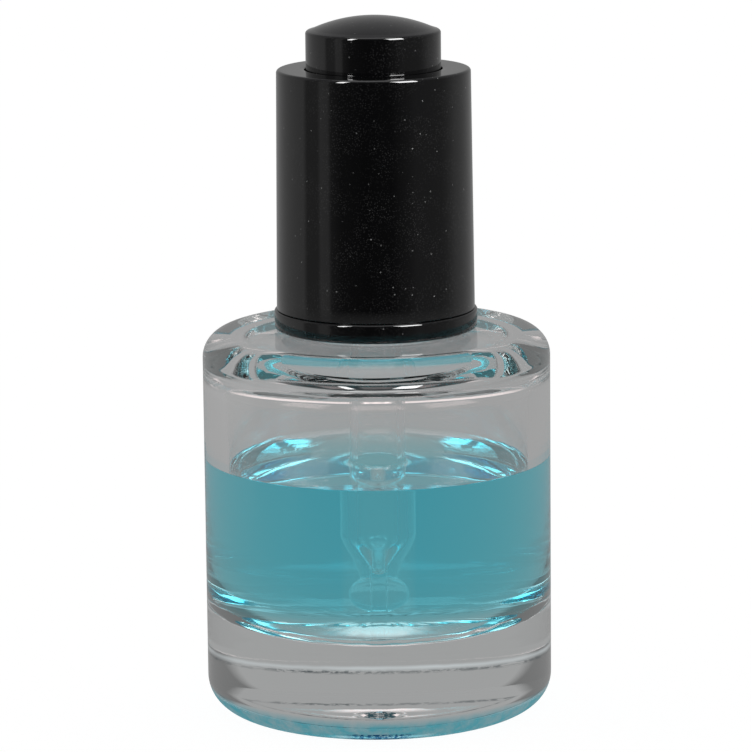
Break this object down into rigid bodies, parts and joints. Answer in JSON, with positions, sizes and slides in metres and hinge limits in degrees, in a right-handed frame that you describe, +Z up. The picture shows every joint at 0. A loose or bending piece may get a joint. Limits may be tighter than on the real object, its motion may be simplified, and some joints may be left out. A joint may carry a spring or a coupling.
{
  "type": "push-button dropper bottle",
  "caption": "Heavy-base clear glass cylinder bottle with teal liquid, a glass pipette and a glossy black screw cap whose domed push button squeezes a rubber teat.",
  "frame": {"origin": "centre of the base on the table", "axes": "+Z up along the bottle's axis; the outside is round, so +X and +Y have no front of their own"},
  "size_m": [0.042, 0.042, 0.0844],
  "materials": {
    "clear_glass": "polished",
    "teal_liquid": "polished",
    "plug_plastic": "satin",
    "washer_foam": "matte",
    "teat_rubber": "matte",
    "closure_plastic": "satin",
    "gloss_black": "gloss"
  },
  "bodies": {
    "bottle": {"glass_bottle": "clear_glass", "liquid": "teal_liquid", "wiper_plug": "plug_plastic"},
    "seal": {"sealing_washer": "washer_foam"},
    "stem": {"pipette": "clear_glass", "rubber_teat": "teat_rubber"},
    "cap": {"threaded_closure": "closure_plastic", "base_ring": "gloss_black", "cap_sleeve": "gloss_black", "button_guide": "gloss_black"},
    "button": {"push_button": "gloss_black"}
  },
  "joints": [
    {"name": "dropper_lift", "type": "slide", "parent": "bottle", "child": "seal", "axis": [0, 0, 1], "range_m": [0, 0.066]},
    {"name": "cap_rise", "type": "slide", "parent": "seal", "child": "stem", "axis": [0, 0, 1], "range_m": [0, 0.00503]},
    {"name": "cap_unscrew", "type": "hinge", "parent": "stem", "child": "cap", "pos_m": [0, 0, 0.0602], "axis": [0, 0, 1], "range_deg": [0, 570]},
    {"name": "button_press", "type": "slide", "parent": "cap", "child": "button", "axis": [0, 0, -1], "range_m": [0, 0.004], "stiffness_N_per_m": 600, "deforming": ["rubber_teat"]}
  ],
  "couplings": [
    {"joint": "cap_unscrew", "follows": "cap_rise", "rad_per_m": 1979}
  ]
}
